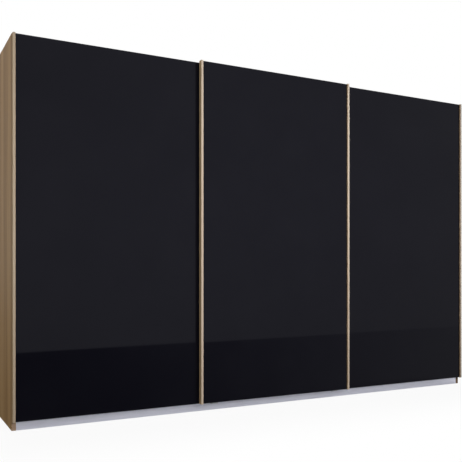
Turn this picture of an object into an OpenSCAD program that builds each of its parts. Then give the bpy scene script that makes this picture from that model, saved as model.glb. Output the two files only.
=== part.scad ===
// Three-door sliding wardrobe.
// The outer doors share the rear track, the middle door hangs on the front track and overlaps both.
// Origin: centre of the footprint, on the floor. +Z up, -Y is the front, +X the viewer's right.
// Millimetres.

/* [Overall] */
// Width over the side panels
overall_w = 3200; // [2700:10:3600]
// Height of the side panels' top above the floor
overall_h = 2100; // [1900:10:2400]
// Depth from the middle door's grip strips to the rear edges
overall_d = 620; // [560:5:700]

/* [Carcass] */
// Thickness of the side panels
side_t = 22; // [18:1:28]
// Thickness of the two partitions
partition_t = 18; // [18:1:25]
// Thickness of the top and bottom boards
board_t = 16; // [16:1:22]
// Height of the plinth under the bottom boards
plinth_h = 59; // [50:1:90]
// Thickness of the plinth boards
plinth_t = 16; // [12:1:22]
// Distance of the rear plinth from the rear edges
plinth_rear_inset = 60; // [30:5:120]
// Distance of the partitions' front edge behind the guide rail
partition_clearance = 3; // [2:1:20]
// Thickness of the back panels
back_t = 3; // [3:0.5:5]
// Distance of the back panels from the rear edges
back_inset = 8; // [5:1:15]
// Depth of the grooves that hold the back panels
groove_depth = 6; // [4:0.5:7]
// Wall of the H-section joiner between two back leaves
joiner_t = 1; // [0.8:0.1:1.5]
// Flange width of the H-section joiner
joiner_w = 16; // [12:1:24]
// Diameter of the floor glides
glide_d = 16; // [12:1:18]
// Height of the floor glides
glide_h = 3; // [2:0.5:6]
// Distance of the floor glides from the front and rear edges
glide_inset = 40; // [30:5:80]

/* [Connectors] */
// Diameter of the cam locks
cam_d = 15; // [12:1:18]
// Depth of the cam locks
cam_h = 12.5; // [10:0.5:13]
// Distance of a cam's centre from the board's end
cam_reach = 34; // [24:1:40]
// Distance of the cams from the board's front and rear edges
cam_inset = 70; // [50:5:150]
// Diameter of the cam bolts
cam_bolt_d = 6; // [5:0.5:7]
// Depth of a cam bolt in the panel
cam_bolt_embed = 7; // [5:0.5:8]

/* [Interior] */
// Height of the space between the hat shelves and the top boards
hat_space = 275; // [220:5:500]
// Thickness of the shelves
shelf_t = 16; // [12:1:22]
// Gap between a shelf and the panels beside it
shelf_clearance = 1; // [0.5:0.5:2]
// Diameter of the shelf pins
pin_d = 5; // [4:0.5:6]
// Depth of a shelf pin in the panel
pin_embed = 7; // [6:0.5:8]
// Length of a shelf pin under the shelf
pin_reach = 9; // [7:0.5:12]
// Distance of the shelf pins from the shelf's front and rear edges
pin_inset = 60; // [40:5:120]
// Width of the oval clothes rail
tube_w = 15; // [14:1:18]
// Height of the oval clothes rail
tube_h = 30; // [25:1:35]
// Wall of the clothes rail
tube_wall = 1.2; // [1:0.1:2]
// Distance from the shelf's underside to the middle of the clothes rail
tube_drop = 70; // [50:5:120]
// Wall and base thickness of the clothes rail's end sockets
socket_wall = 3; // [2.5:0.5:4]
// Depth of the clothes rail in its sockets
socket_depth = 10; // [8:1:15]

/* [Doors] */
// Overlap of neighbouring doors
door_overlap = 23; // [18:1:60]
// Thickness of the door panels
panel_t = 16; // [14:1:19]
// Thickness of the glass fronts
glass_t = 4; // [3:0.5:6]
// Width of the grip strips
grip_w = 14; // [12:1:30]
// Height of the grip strips over the glass
grip_proud = 10; // [4:0.5:12]
// Rounding of the grip strips' long edges
grip_round = 1.2; // [0.8:0.1:1.6]
// Distance of the glass and panel from the grip strips' ends
glass_inset = 1.5; // [1:0.5:4]
// Gap between the floor and the outer doors
floor_gap = 51; // [35:1:55]
// Gap between the carcass and the outer doors
carcass_gap = 8; // [7:0.5:12]
// Gap between the doors of the two tracks
track_gap = 4; // [3:0.5:8]

/* [Running gear] */
// Thickness of the folded steel hangers and guide arms
plate_t = 2.5; // [2:0.25:3]
// Width of a hanger
hanger_w = 60; // [44:2:90]
// Height of a hanger's leg on the door
hanger_h = 90; // [70:5:140]
// Distance from a door's edge to the middle of a hanger
hanger_offset = 120; // [100:5:200]
// Running radius of the rollers
roller_r = 14; // [12:0.5:16]
// Height of the rollers' flanges
flange_h = 3; // [2:0.5:4]
// Width of the rollers
roller_w = 10; // [9:0.5:12]
// Radius of the axles
axle_r = 3; // [2.5:0.25:4]
// Radial clearance between axle and roller
axle_fit = 0.05; // [0.02:0.01:0.1]
// Side clearance between a roller and its axle's shoulder or head
hub_gap = 0.2; // [0.1:0.1:0.5]
// Length of the shoulder between the middle door's hanger and its roller
shoulder_l = 11; // [8:0.5:13]
// Distance of the rear track behind the carcass front
track_setback = 10; // [8:0.5:16]
// Distance between the two tracks
track_pitch = 30; // [30:1:40]
// Height of a track's crown over the top boards
track_h = 14; // [10:0.5:20]
// Thickness of a track's rib
track_t = 4; // [3:0.5:4.5]
// Thickness of the running rail's base and front lip
rail_t = 2; // [1.5:0.25:3]
// Gap between roller and track in the solids
roller_gap = 0.3; // [0.2:0.1:0.5]
// Clearance between parts of different doors that pass each other
pass_gap = 1.5; // [1:0.25:3]

/* [Bottom guide] */
// Thickness of the guide rail's base and fins
fin_t = 2; // [1.5:0.25:3]
// Height of the guide rail's fins over its base
fin_h = 12; // [8:1:18]
// Width of the two grooves
slot_w = 8; // [7.5:0.5:10]
// Thickness of the sliding shoes
shoe_t = 6; // [5:0.25:7]
// Distance of a shoe's ends from the edges of its guide arm
shoe_inset = 5; // [3:0.5:8]
// Gap under the shoes and between the arms
arm_gap = 2; // [1:0.5:4]
// Width of a guide arm
arm_w = 44; // [36:2:70]
// Height of a guide arm's leg on the door
arm_h = 60; // [50:5:100]
// Distance from a door's edge to the middle of a guide arm
arm_offset = 100; // [70:5:200]

/* [Screws and brackets] */
// Shank diameter of the screws
screw_d = 4; // [3:0.5:4.5]
// Head diameter of the screws
screw_head_d = 8; // [7:0.5:9]
// Height of the screw heads
screw_head_h = 2; // [1.5:0.25:2.5]
// Depth of the screws in the wood
screw_depth = 11; // [8:0.5:11.5]
// Spacing of the rail screws along the rails
rail_screw_pitch = 480; // [300:20:700]
// Length of the track stops
stop_l = 20; // [12:1:30]
// Width of the track stops
stop_w = 14; // [12:1:18]
// Gap between a track stop and the roller it stops
stop_gap = 1; // [0.5:0.5:3]
// Width and leg length of the wall brackets
bracket_size = 40; // [30:2:60]
// Thickness of the wall brackets
bracket_t = 2.5; // [2:0.5:4]
// Hole diameter for the wall screws
bracket_hole_d = 5; // [4:0.5:8]

/* [Hidden] */
$fn = 48;
eps = 1; // overshoot of a cutting tool past the face it opens
fit = 0.1; // clearance of a piece in its drilling or groove
screw_margin = 2; // least material beside a screw's head
collar = 2; // height and overlap of an axle's shoulder and head
flank = 0.6; // slope of a roller's flanges
side_play = 0.5; // play of a roller beside its rib
core = 0.5; // material left between fittings that meet from both sides

// Depth positions, front to back
door_t = panel_t + glass_t + grip_proud;
y_front = -overall_d / 2;
y_back = overall_d / 2;
y_middle_door = y_front + door_t; // rear face of the middle door
y_outer_front = y_middle_door + track_gap;
y_outer_door = y_outer_front + door_t; // rear face of the outer doors
y_carcass = y_outer_door + carcass_gap;
y_track_outer = y_carcass + track_setback;
y_track_middle = y_track_outer + track_pitch;
y_slot_middle = y_carcass + fin_t + slot_w / 2;
y_slot_outer = y_slot_middle + slot_w + fin_t;
y_fins_back = y_slot_outer + slot_w / 2 + fin_t;
screw_land = screw_head_d + 2 * screw_margin; // width of the flange that takes the guide rail's screws
y_guide_back = y_fins_back + screw_land;
y_partition = y_guide_back + partition_clearance;
y_groove = y_back - back_inset - back_t;
y_board_back = y_groove - joiner_t - fit;

// Heights
z_bottom_board = glide_h + plinth_h;
z_inside_floor = z_bottom_board + board_t;
fin_top = z_inside_floor + fin_t + fin_h;
rail_space = track_h + roller_r + roller_gap + roller_r + flange_h + pass_gap + plate_t;
z_top_board_upper = overall_h - rail_space;
z_inside_top = z_top_board_upper - board_t;
z_roller = z_top_board_upper + track_h + roller_gap + roller_r;
hang_step = plate_t + pass_gap; // the middle door hangs this much higher than the outer ones
z_outer_top = overall_h - hang_step;
z_outer_bottom = floor_gap;
z_middle_bottom = floor_gap + hang_step;
door_h = z_outer_top - z_outer_bottom;
shelf_z = z_inside_top - hat_space; // upper face of the hat shelves
z_shelf_under = shelf_z - shelf_t;
z_tube = z_shelf_under - tube_drop;
z_pass = z_outer_bottom - pass_gap - plate_t; // underside of the middle door's guide arm
z_arm_middle = fin_top + arm_gap;
z_arm_outer = z_arm_middle + plate_t + arm_gap;

// Places across the width
x_right = overall_w / 2;
door_w = (overall_w + 2 * door_overlap) / 3;
inner_right = x_right - side_t;
bay_w = (2 * inner_right - 2 * partition_t) / 3;
partition_x = bay_w / 2 + partition_t / 2; // middle of the right partition
bays = [ // left and right wall of each compartment
    [-inner_right, -inner_right + bay_w],
    [-bay_w / 2, bay_w / 2],
    [inner_right - bay_w, inner_right]
];
back_x = [for (b = bays) (b[0] + b[1]) / 2]; // middle of each back, where two leaves meet
door_lefts = [-x_right, -door_w / 2, x_right - door_w];

oak = [0.60, 0.49, 0.38];
oak_light = [0.72, 0.62, 0.52];
glass_black = [0.05, 0.05, 0.06];
aluminium = [0.68, 0.70, 0.74];
steel = [0.55, 0.56, 0.58];
plastic = [0.20, 0.20, 0.21];
white = [0.88, 0.88, 0.86];

// A box from its lowest to its highest corner
module block(low, high) {
    translate(low) cube(high - low);
}

// A profile drawn as [y, z], extruded along X from x0 to x1
module along_x(x0, x1) {
    translate([x0, 0, 0]) rotate([90, 0, 90]) linear_extrude(x1 - x0) children();
}

// A rectangle in a profile, from its lowest to its highest corner
module rect(low, high) {
    translate(low) square(high - low);
}

// A rod along X or along Y
module rod_x(d, at, length) {
    translate(at) rotate([0, 90, 0]) cylinder(d = d, h = length);
}
module rod_y(d, at, length) {
    translate(at) rotate([-90, 0, 0]) cylinder(d = d, h = length);
}

// A slot with round ends, tall in Z, as a [y, z] profile
module oval(w, h) {
    square([w, h - w], center = true);
    for (s = [-1, 1]) translate([0, s * (h - w) / 2]) circle(d = w);
}

// Right-hand pieces are the mirror image of left-hand ones
module flipped() {
    mirror([1, 0, 0]) children();
}

/* Carcass */

cam_ys = [y_carcass + cam_inset, y_board_back - cam_inset];
bolt_zs = [z_bottom_board + board_t / 2, z_top_board_upper - board_t / 2];
y_shelf_front = y_partition + shelf_clearance;
y_shelf_back = y_groove - joiner_t - shelf_clearance;
pin_ys = [y_shelf_front + pin_inset, y_shelf_back - pin_inset];
pin_z = z_shelf_under - pin_d / 2;
y_tube = (y_shelf_front + y_shelf_back) / 2;
panel_screw = min(screw_depth, partition_t / 2 - core); // screws meet from both sides of a partition

// Drillings for cam bolts and shelf pins in a panel whose face is at x and which lies on the side dir
module panel_drillings(x, dir) {
    for (y = cam_ys, z = bolt_zs)
        rod_x(cam_bolt_d + 2 * fit, [x + (dir < 0 ? -cam_bolt_embed - fit : -eps), y, z],
            cam_bolt_embed + fit + eps);
    for (y = pin_ys)
        rod_x(pin_d + 2 * fit, [x + (dir < 0 ? -pin_embed - fit : -eps), y, pin_z],
            pin_embed + fit + eps);
    rod_x(screw_d + 2 * fit, [x + (dir < 0 ? -panel_screw - fit : -eps), y_tube, z_tube],
        panel_screw + fit + eps);
}

// Groove for the back panel, in the face at x of a panel which lies on the side dir
module back_groove(x, dir, top) {
    block([x + (dir < 0 ? -groove_depth : -eps), y_groove - fit, glide_h - eps],
        [x + (dir < 0 ? eps : groove_depth), y_groove + back_t + fit, top + eps]);
}

module side_panel() {
    color(oak) difference() {
        block([-x_right, y_carcass, glide_h], [-inner_right, y_back, overall_h]);
        back_groove(-inner_right, -1, overall_h);
        panel_drillings(-inner_right, -1);
    }
}

module partition(x) {
    color(oak) difference() {
        along_x(x - partition_t / 2, x + partition_t / 2) difference() {
            rect([y_carcass, glide_h], [y_back, z_top_board_upper]);
            rect([y_carcass - eps, glide_h - eps], [y_carcass + plinth_t, z_bottom_board]);
            rect([y_carcass - eps, z_inside_floor], [y_partition, z_inside_top]);
        }
        for (dir = [-1, 1]) {
            back_groove(x - dir * partition_t / 2, dir, z_top_board_upper);
            panel_drillings(x - dir * partition_t / 2, dir);
        }
    }
}

// Position of each cam: [x, y], with the side on which its board ends
function cam_places(bay) = [for (y = cam_ys) each [[bay[0], y, 1], [bay[1], y, -1]]];

// A board between two panels. The cams sit in pockets in the face that is not seen.
module bay_board(bay, z, cams_above) {
    color(oak) difference() {
        block([bay[0], y_carcass, z], [bay[1], y_board_back, z + board_t]);
        for (c = cam_places(bay)) {
            translate([c[0] + c[2] * cam_reach, c[1], cams_above ? z + board_t - cam_h : z - eps])
                cylinder(d = cam_d + 2 * fit, h = cam_h + eps);
            rod_x(cam_bolt_d + 2 * fit, [c[2] > 0 ? c[0] - eps : c[0] - cam_reach, c[1], z + board_t / 2],
                cam_reach + eps);
        }
        for (p = cams_above ? top_screws : bottom_screws)
            translate([p[0], p[1], z + board_t - screw_depth - fit])
                cylinder(d = screw_d + 2 * fit, h = screw_depth + fit + eps);
    }
}

cam_slot = [9, 1.6, 3]; // cross slot for the screwdriver, half its height sunk in the cam

module cam_lock() {
    difference() {
        cylinder(d = cam_d, h = cam_h);
        for (a = [0, 90]) rotate(a) translate([0, 0, cam_h]) cube(cam_slot, center = true);
    }
}

module cam_locks() {
    color(steel) for (bay = bays, c = cam_places(bay)) {
        translate([c[0] + c[2] * cam_reach, c[1], z_top_board_upper - cam_h]) cam_lock();
        translate([c[0] + c[2] * cam_reach, c[1], z_bottom_board + cam_h]) rotate([180, 0, 0]) cam_lock();
    }
}

module cam_bolts() {
    length = cam_bolt_embed + cam_reach - cam_d / 2 - fit;
    color(steel) for (bay = bays, c = cam_places(bay), z = bolt_zs)
        rod_x(cam_bolt_d, [c[0] - (c[2] > 0 ? cam_bolt_embed : length - cam_bolt_embed), c[1], z], length);
}

// Two leaves of hardboard, each with one edge in a panel's groove and the other in the joiner
module back_panel(i) {
    reach = groove_depth - fit;
    low = glide_h + plinth_h / 2;
    high = [y_groove + back_t, z_top_board_upper];
    color(oak_light) {
        block([bays[i][0] - reach, y_groove, low], [back_x[i] - joiner_t, high[0], high[1]]);
        block([back_x[i] + joiner_t, y_groove, low], [bays[i][1] + reach, high[0], high[1]]);
    }
}

module back_joiners() {
    low = glide_h + plinth_h / 2;
    color(oak) for (x = back_x) {
        block([x - joiner_w / 2, y_groove - joiner_t, low],
            [x + joiner_w / 2, y_groove, z_top_board_upper]);
        block([x - joiner_t / 2, y_groove, low], [x + joiner_t / 2, y_groove + back_t, z_top_board_upper]);
        block([x - joiner_w / 2, y_groove + back_t, low],
            [x + joiner_w / 2, y_groove + back_t + joiner_t, z_top_board_upper]);
    }
}

module plinth_front() {
    color(aluminium)
        block([-inner_right, y_carcass, glide_h], [inner_right, y_carcass + plinth_t, z_bottom_board]);
}

module plinth_rear() {
    y = y_back - plinth_rear_inset;
    color(oak) for (bay = bays)
        block([bay[0], y - plinth_t, glide_h], [bay[1], y, z_bottom_board]);
}

glide_xs = [-x_right + side_t / 2, -partition_x, partition_x, x_right - side_t / 2];
module floor_glides() {
    color(plastic) for (x = glide_xs, y = [y_carcass + glide_inset, y_back - glide_inset])
        translate([x, y, 0]) cylinder(d = glide_d, h = glide_h);
}

/* Interior */

module shelf(bay) {
    color(oak) block([bay[0] + shelf_clearance, y_shelf_front, z_shelf_under],
        [bay[1] - shelf_clearance, y_shelf_back, shelf_z]);
}

module shelf_pins() {
    color(steel) for (bay = bays, y = pin_ys) {
        rod_x(pin_d, [bay[0] - pin_embed, y, pin_z], pin_embed + pin_reach);
        rod_x(pin_d, [bay[1] - pin_reach, y, pin_z], pin_embed + pin_reach);
    }
}

socket_gap = 0.2; // clearance round the clothes rail in its sockets

module clothes_rail(bay) {
    end = socket_wall + screw_head_h + socket_gap;
    color(steel) along_x(bay[0] + end, bay[1] - end)
        translate([y_tube, z_tube]) difference() {
            oval(tube_w, tube_h);
            oval(tube_w - 2 * tube_wall, tube_h - 2 * tube_wall);
        }
}

// Cup with a base on the panel, and a screw through the base
module rail_socket(x) {
    difference() {
        along_x(x, x + socket_wall + socket_depth)
            translate([y_tube, z_tube]) oval(tube_w + 2 * socket_wall, tube_h + 2 * socket_wall);
        along_x(x + socket_wall, x + socket_wall + socket_depth + eps)
            translate([y_tube, z_tube]) oval(tube_w + 2 * socket_gap, tube_h + 2 * socket_gap);
    }
    rod_x(screw_d, [x - panel_screw, y_tube, z_tube], panel_screw + eps);
    rod_x(screw_head_d, [x, y_tube, z_tube], socket_wall + screw_head_h);
}

module rail_sockets() {
    color(steel) for (bay = bays) {
        rail_socket(bay[0]);
        flipped() rail_socket(-bay[1]);
    }
}

/* Rails, screws and fittings on the carcass */

rail_x = inner_right - shelf_clearance; // half length of the running rail and the guide rail
y_rail_back = y_track_middle + roller_w;
y_top_screw = (y_track_outer + y_track_middle) / 2;
y_bottom_screw = y_fins_back + screw_land / 2;
screw_edge = 60; // distance of the first rail screw from a compartment's wall
screw_steps = ceil((bay_w - 2 * screw_edge) / rail_screw_pitch);
rail_screw_xs = [for (b = bays, i = [0:screw_steps])
    b[0] + screw_edge + i * (bay_w - 2 * screw_edge) / screw_steps];
wall_bracket_xs = [
    -inner_right + bracket_size, -partition_x + partition_t + bracket_size,
    partition_x - partition_t - bracket_size, inner_right - bracket_size
];
y_bracket_screw = y_board_back - bracket_size / 2;
bottom_screws = [for (x = rail_screw_xs) [x, y_bottom_screw]];
top_screws = concat([for (x = rail_screw_xs) [x, y_top_screw]],
    [for (x = wall_bracket_xs) [x, y_bracket_screw]]);

// Double track with rounded crowns, and a lip over the top boards' front edge
module running_rail() {
    color(aluminium) difference() {
        along_x(-rail_x, rail_x) {
            rect([y_carcass - rail_t, z_top_board_upper], [y_rail_back, z_top_board_upper + rail_t]);
            rect([y_carcass - rail_t, z_inside_top], [y_carcass, z_top_board_upper + rail_t]);
            for (y = [y_track_outer, y_track_middle]) {
                rect([y - track_t / 2, z_top_board_upper],
                    [y + track_t / 2, z_top_board_upper + track_h - track_t / 2]);
                translate([y, z_top_board_upper + track_h - track_t / 2]) circle(d = track_t);
            }
        }
        for (x = rail_screw_xs) translate([x, y_top_screw, z_top_board_upper - eps])
            cylinder(d = screw_d + 2 * fit, h = rail_t + 2 * eps);
    }
}

// Three fins that form two grooves, and a flange for the screws
module guide_rail() {
    color(aluminium) difference() {
        along_x(-rail_x, rail_x) {
            rect([y_carcass, z_inside_floor], [y_guide_back, z_inside_floor + fin_t]);
            for (y = [y_carcass, y_slot_middle + slot_w / 2, y_slot_outer + slot_w / 2])
                rect([y, z_inside_floor], [y + fin_t, fin_top]);
        }
        for (x = rail_screw_xs) translate([x, y_bottom_screw, z_inside_floor - eps])
            cylinder(d = screw_d + 2 * fit, h = fin_t + 2 * eps);
    }
}

// Screw upright in a board, its head on a plate of thickness t
module board_screw(x, y, z, t) {
    translate([x, y, z - screw_depth]) cylinder(d = screw_d, h = screw_depth + t + eps);
    translate([x, y, z + t]) cylinder(d = screw_head_d, h = screw_head_h);
}

module rail_screws() {
    color(steel) {
        for (x = rail_screw_xs) {
            board_screw(x, y_bottom_screw, z_inside_floor, fin_t);
            board_screw(x, y_top_screw, z_top_board_upper, rail_t);
        }
        for (x = wall_bracket_xs) board_screw(x, y_bracket_screw, z_top_board_upper, bracket_t);
    }
}

// Rubber block over a rib, which stops the outermost roller
module track_stop(y) {
    low = z_top_board_upper + rail_t;
    x_stop = -x_right + hanger_offset - roller_r - flange_h - stop_gap;
    difference() {
        block([x_stop - stop_l, y - stop_w / 2, low], [x_stop, y + stop_w / 2, z_roller]);
        block([x_stop - stop_l - eps, y - track_t / 2 - fit, low - eps],
            [x_stop + eps, y + track_t / 2 + fit, z_top_board_upper + track_h + fit]);
    }
}

module track_stops() {
    color(plastic) for (y = [y_track_outer, y_track_middle]) {
        track_stop(y);
        flipped() track_stop(y);
    }
}

// Angle on the top board with a hole for a screw into the wall
module wall_brackets() {
    color(steel) for (x = wall_bracket_xs) difference() {
        along_x(x - bracket_size / 2, x + bracket_size / 2) {
            rect([y_board_back - bracket_size, z_top_board_upper], [y_back, z_top_board_upper + bracket_t]);
            rect([y_back - bracket_t, z_top_board_upper], [y_back, z_top_board_upper + bracket_size]);
        }
        translate([x, y_bracket_screw, z_top_board_upper - eps])
            cylinder(d = screw_d + 2 * fit, h = bracket_t + 2 * eps);
        rod_y(bracket_hole_d, [x, y_back - bracket_t - eps, z_wall_hole], bracket_t + 2 * eps);
    }
}
z_wall_hole = z_top_board_upper + (bracket_size + bracket_t) / 2;

/* Doors: each is given by its left edge x, its rear face y and its bottom z */

hanger_bottom = 20; // distance of the lower screws from the hanger's lower end
plate_round = 6; // corner rounding of hangers and guide arms

module door_panel(x, y, z) {
    color(oak_light) difference() {
        block([x + grip_w, y - panel_t, z + glass_inset],
            [x + door_w - grip_w, y, z + door_h - glass_inset]);
        for (s = door_screw_places(x, y, z))
            rod_y(screw_d + 2 * fit, [s[0], y - screw_depth - fit, s[1]], screw_depth + fit + eps);
    }
}

module door_glass(x, y, z) {
    color(glass_black)
        block([x + grip_w, y - panel_t - glass_t, z + glass_inset],
            [x + door_w - grip_w, y - panel_t, z + door_h - glass_inset]);
}

// Upright strip with rounded front edges along the door's edge
module grip(x, y, z) {
    translate([x, y - door_t, z]) linear_extrude(door_h) {
        translate([0, grip_round]) square([grip_w, door_t - grip_round]);
        translate([grip_round, 0]) square([grip_w - 2 * grip_round, door_t / 2]);
        for (cx = [grip_round, grip_w - grip_round]) translate([cx, grip_round]) circle(r = grip_round);
    }
}

module door_grips(x, y, z) {
    color(oak) {
        grip(x, y, z);
        grip(x + door_w - grip_w, y, z);
    }
}

function hanger_xs(x) = [x + hanger_offset, x + door_w - hanger_offset];
function arm_xs(x) = [x + arm_offset, x + door_w - arm_offset];
function is_middle(y) = y == y_middle_door;
function arm_leg_low(y) = is_middle(y) ? z_pass : z_arm_outer;

// Places [x, z] of all the screws in a door's rear face
function door_screw_places(x, y, z) = concat(
    [for (h = hanger_xs(x), dx = [-1, 1], dz = [0, 1])
        [h + dx * hanger_w / 4, z + door_h - hanger_h + hanger_bottom / 2 + dz * hanger_bottom]],
    [for (a = arm_xs(x), dx = [-1, 1])
        [a + dx * arm_w / 4, arm_leg_low(y) + arm_h - hanger_bottom / 2]]
);

head_seat = min(screw_head_h, plate_t - core); // the heads lie sunk in the plates

// Rectangular plate facing along Y, with its lower corners rounded
module upright_plate(x0, x1, y, z0, z1, t) {
    translate([0, y + t, 0]) rotate([90, 0, 0]) linear_extrude(t) {
        translate([x0, z0 + plate_round]) square([x1 - x0, z1 - z0 - plate_round]);
        translate([x0 + plate_round, z0]) square([x1 - x0 - 2 * plate_round, plate_round + eps]);
        for (cx = [x0 + plate_round, x1 - plate_round])
            translate([cx, z0 + plate_round]) circle(plate_round);
    }
}

// Axle with a shoulder in front of the roller and a head behind it
module axle(x, y_plate, y_track) {
    y0 = y_track - roller_w / 2 - hub_gap;
    y1 = y_track + roller_w / 2 + hub_gap;
    rod_y(2 * axle_r, [x, y_plate, z_roller], y1 - y_plate + eps);
    rod_y(2 * (axle_r + collar), [x, y_plate, z_roller], y0 - y_plate);
    rod_y(2 * (axle_r + collar), [x, y1, z_roller], collar);
}

module door_hangers(x, y, z) {
    top = z + door_h;
    color(steel) difference() {
        for (h = hanger_xs(x)) {
            upright_plate(h - hanger_w / 2, h + hanger_w / 2, y, top - hanger_h, top, plate_t);
            if (is_middle(y)) {
                y_leg = y_track_middle - roller_w / 2 - shoulder_l;
                block([h - hanger_w / 2, y, top - plate_t], [h + hanger_w / 2, y_leg, top]);
                upright_plate(h - hanger_w / 2, h + hanger_w / 2, y_leg - plate_t,
                    z_roller - 2 * plate_round, top, plate_t);
                axle(h, y_leg - plate_t, y_track_middle);
            } else {
                axle(h, y, y_track_outer);
            }
        }
        for (s = door_screw_places(x, y, z)) if (s[1] > z + door_h / 2) {
            rod_y(screw_d + 2 * fit, [s[0], y - eps, s[1]], plate_t + 2 * eps);
            rod_y(screw_head_d + 2 * fit, [s[0], y + plate_t - head_seat, s[1]], head_seat + eps);
        }
    }
}

stud_d = 5; // stud of a shoe in its guide arm

module door_guide_arms(x, y, z) {
    low = arm_leg_low(y);
    color(steel) difference() {
        for (a = arm_xs(x)) {
            mirror([0, 0, 1])
                upright_plate(a - arm_w / 2, a + arm_w / 2, y, -low - arm_h, -low, plate_t);
            if (is_middle(y)) {
                y_riser = y_outer_door + plate_t + pass_gap;
                block([a - arm_w / 2, y, z_pass], [a + arm_w / 2, y_riser + plate_t, z_pass + plate_t]);
                block([a - arm_w / 2, y_riser, z_pass],
                    [a + arm_w / 2, y_riser + plate_t, z_arm_middle + plate_t]);
                block([a - arm_w / 2, y_riser, z_arm_middle],
                    [a + arm_w / 2, y_slot_middle + stud_d, z_arm_middle + plate_t]);
            } else {
                block([a - arm_w / 2, y, z_arm_outer],
                    [a + arm_w / 2, y_slot_outer + stud_d, z_arm_outer + plate_t]);
            }
        }
        for (a = arm_xs(x)) translate([a, shoe_y(y), shoe_top(y) - eps])
            cylinder(d = stud_d + 2 * fit, h = plate_t + 2 * eps);
        for (s = door_screw_places(x, y, z)) if (s[1] < z + door_h / 2) {
            rod_y(screw_d + 2 * fit, [s[0], y - eps, s[1]], plate_t + 2 * eps);
            rod_y(screw_head_d + 2 * fit, [s[0], y + plate_t - head_seat, s[1]], head_seat + eps);
        }
    }
}

function shoe_y(y) = is_middle(y) ? y_slot_middle : y_slot_outer;
function shoe_top(y) = is_middle(y) ? z_arm_middle : z_arm_outer;

// Plastic shoe under the arm's end, running in its groove
module door_shoes(x, y, z) {
    low = z_inside_floor + fin_t + arm_gap;
    shoe_l = arm_w - 2 * shoe_inset;
    color(plastic) for (a = arm_xs(x)) translate([a, shoe_y(y), 0]) {
        translate([0, 0, low]) linear_extrude(shoe_top(y) - low) {
            square([shoe_l - shoe_t, shoe_t], center = true);
            for (s = [-1, 1]) translate([s * (shoe_l - shoe_t) / 2, 0]) circle(d = shoe_t);
        }
        translate([0, 0, low]) cylinder(d = stud_d, h = shoe_top(y) + plate_t - low);
    }
}

module door_screws(x, y, z) {
    color(steel) for (s = door_screw_places(x, y, z)) {
        rod_y(screw_d, [s[0], y - screw_depth, s[1]], screw_depth + plate_t - head_seat + fit);
        rod_y(screw_head_d, [s[0], y + plate_t - head_seat, s[1]], head_seat);
    }
}

// Grooved roller that straddles the rib, turning about Y
module roller(x, y) {
    groove = track_t / 2 + side_play;
    color(plastic) translate([x, y, z_roller]) rotate([-90, 0, 0]) difference() {
        rotate_extrude($fn = 72) polygon([
            [axle_r + axle_fit, -roller_w / 2], [roller_r + flange_h, -roller_w / 2],
            [roller_r + flange_h, -groove - flank], [roller_r, -groove], [roller_r, groove],
            [roller_r + flange_h, groove + flank], [roller_r + flange_h, roller_w / 2],
            [axle_r + axle_fit, roller_w / 2]
        ]);
    }
}

/* Nodes */

module side_panel_left() { side_panel(); }
module side_panel_right() { flipped() side_panel(); }
module partition_left() { partition(-partition_x); }
module partition_right() { partition(partition_x); }
module bottom_board_left() { bay_board(bays[0], z_bottom_board, false); }
module bottom_board_middle() { bay_board(bays[1], z_bottom_board, false); }
module bottom_board_right() { bay_board(bays[2], z_bottom_board, false); }
module top_board_left() { bay_board(bays[0], z_inside_top, true); }
module top_board_middle() { bay_board(bays[1], z_inside_top, true); }
module top_board_right() { bay_board(bays[2], z_inside_top, true); }
module back_panel_left() { back_panel(0); }
module back_panel_middle() { back_panel(1); }
module back_panel_right() { back_panel(2); }
module shelf_left() { shelf(bays[0]); }
module shelf_middle() { shelf(bays[1]); }
module shelf_right() { shelf(bays[2]); }
module clothes_rail_left() { clothes_rail(bays[0]); }
module clothes_rail_middle() { clothes_rail(bays[1]); }
module clothes_rail_right() { clothes_rail(bays[2]); }
module door_left_panel() { door_panel(door_lefts[0], y_outer_door, z_outer_bottom); }
module door_left_glass() { door_glass(door_lefts[0], y_outer_door, z_outer_bottom); }
module door_left_grips() { door_grips(door_lefts[0], y_outer_door, z_outer_bottom); }
module door_left_hangers() { door_hangers(door_lefts[0], y_outer_door, z_outer_bottom); }
module door_left_guide_arms() { door_guide_arms(door_lefts[0], y_outer_door, z_outer_bottom); }
module door_left_shoes() { door_shoes(door_lefts[0], y_outer_door, z_outer_bottom); }
module door_left_screws() { door_screws(door_lefts[0], y_outer_door, z_outer_bottom); }
module door_middle_panel() { door_panel(door_lefts[1], y_middle_door, z_middle_bottom); }
module door_middle_glass() { door_glass(door_lefts[1], y_middle_door, z_middle_bottom); }
module door_middle_grips() { door_grips(door_lefts[1], y_middle_door, z_middle_bottom); }
module door_middle_hangers() { door_hangers(door_lefts[1], y_middle_door, z_middle_bottom); }
module door_middle_guide_arms() { door_guide_arms(door_lefts[1], y_middle_door, z_middle_bottom); }
module door_middle_shoes() { door_shoes(door_lefts[1], y_middle_door, z_middle_bottom); }
module door_middle_screws() { door_screws(door_lefts[1], y_middle_door, z_middle_bottom); }
module door_right_panel() { door_panel(door_lefts[2], y_outer_door, z_outer_bottom); }
module door_right_glass() { door_glass(door_lefts[2], y_outer_door, z_outer_bottom); }
module door_right_grips() { door_grips(door_lefts[2], y_outer_door, z_outer_bottom); }
module door_right_hangers() { door_hangers(door_lefts[2], y_outer_door, z_outer_bottom); }
module door_right_guide_arms() { door_guide_arms(door_lefts[2], y_outer_door, z_outer_bottom); }
module door_right_shoes() { door_shoes(door_lefts[2], y_outer_door, z_outer_bottom); }
module door_right_screws() { door_screws(door_lefts[2], y_outer_door, z_outer_bottom); }
module roller_left_outer() { roller(hanger_xs(door_lefts[0])[0], y_track_outer); }
module roller_left_inner() { roller(hanger_xs(door_lefts[0])[1], y_track_outer); }
module roller_middle_left() { roller(hanger_xs(door_lefts[1])[0], y_track_middle); }
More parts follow.
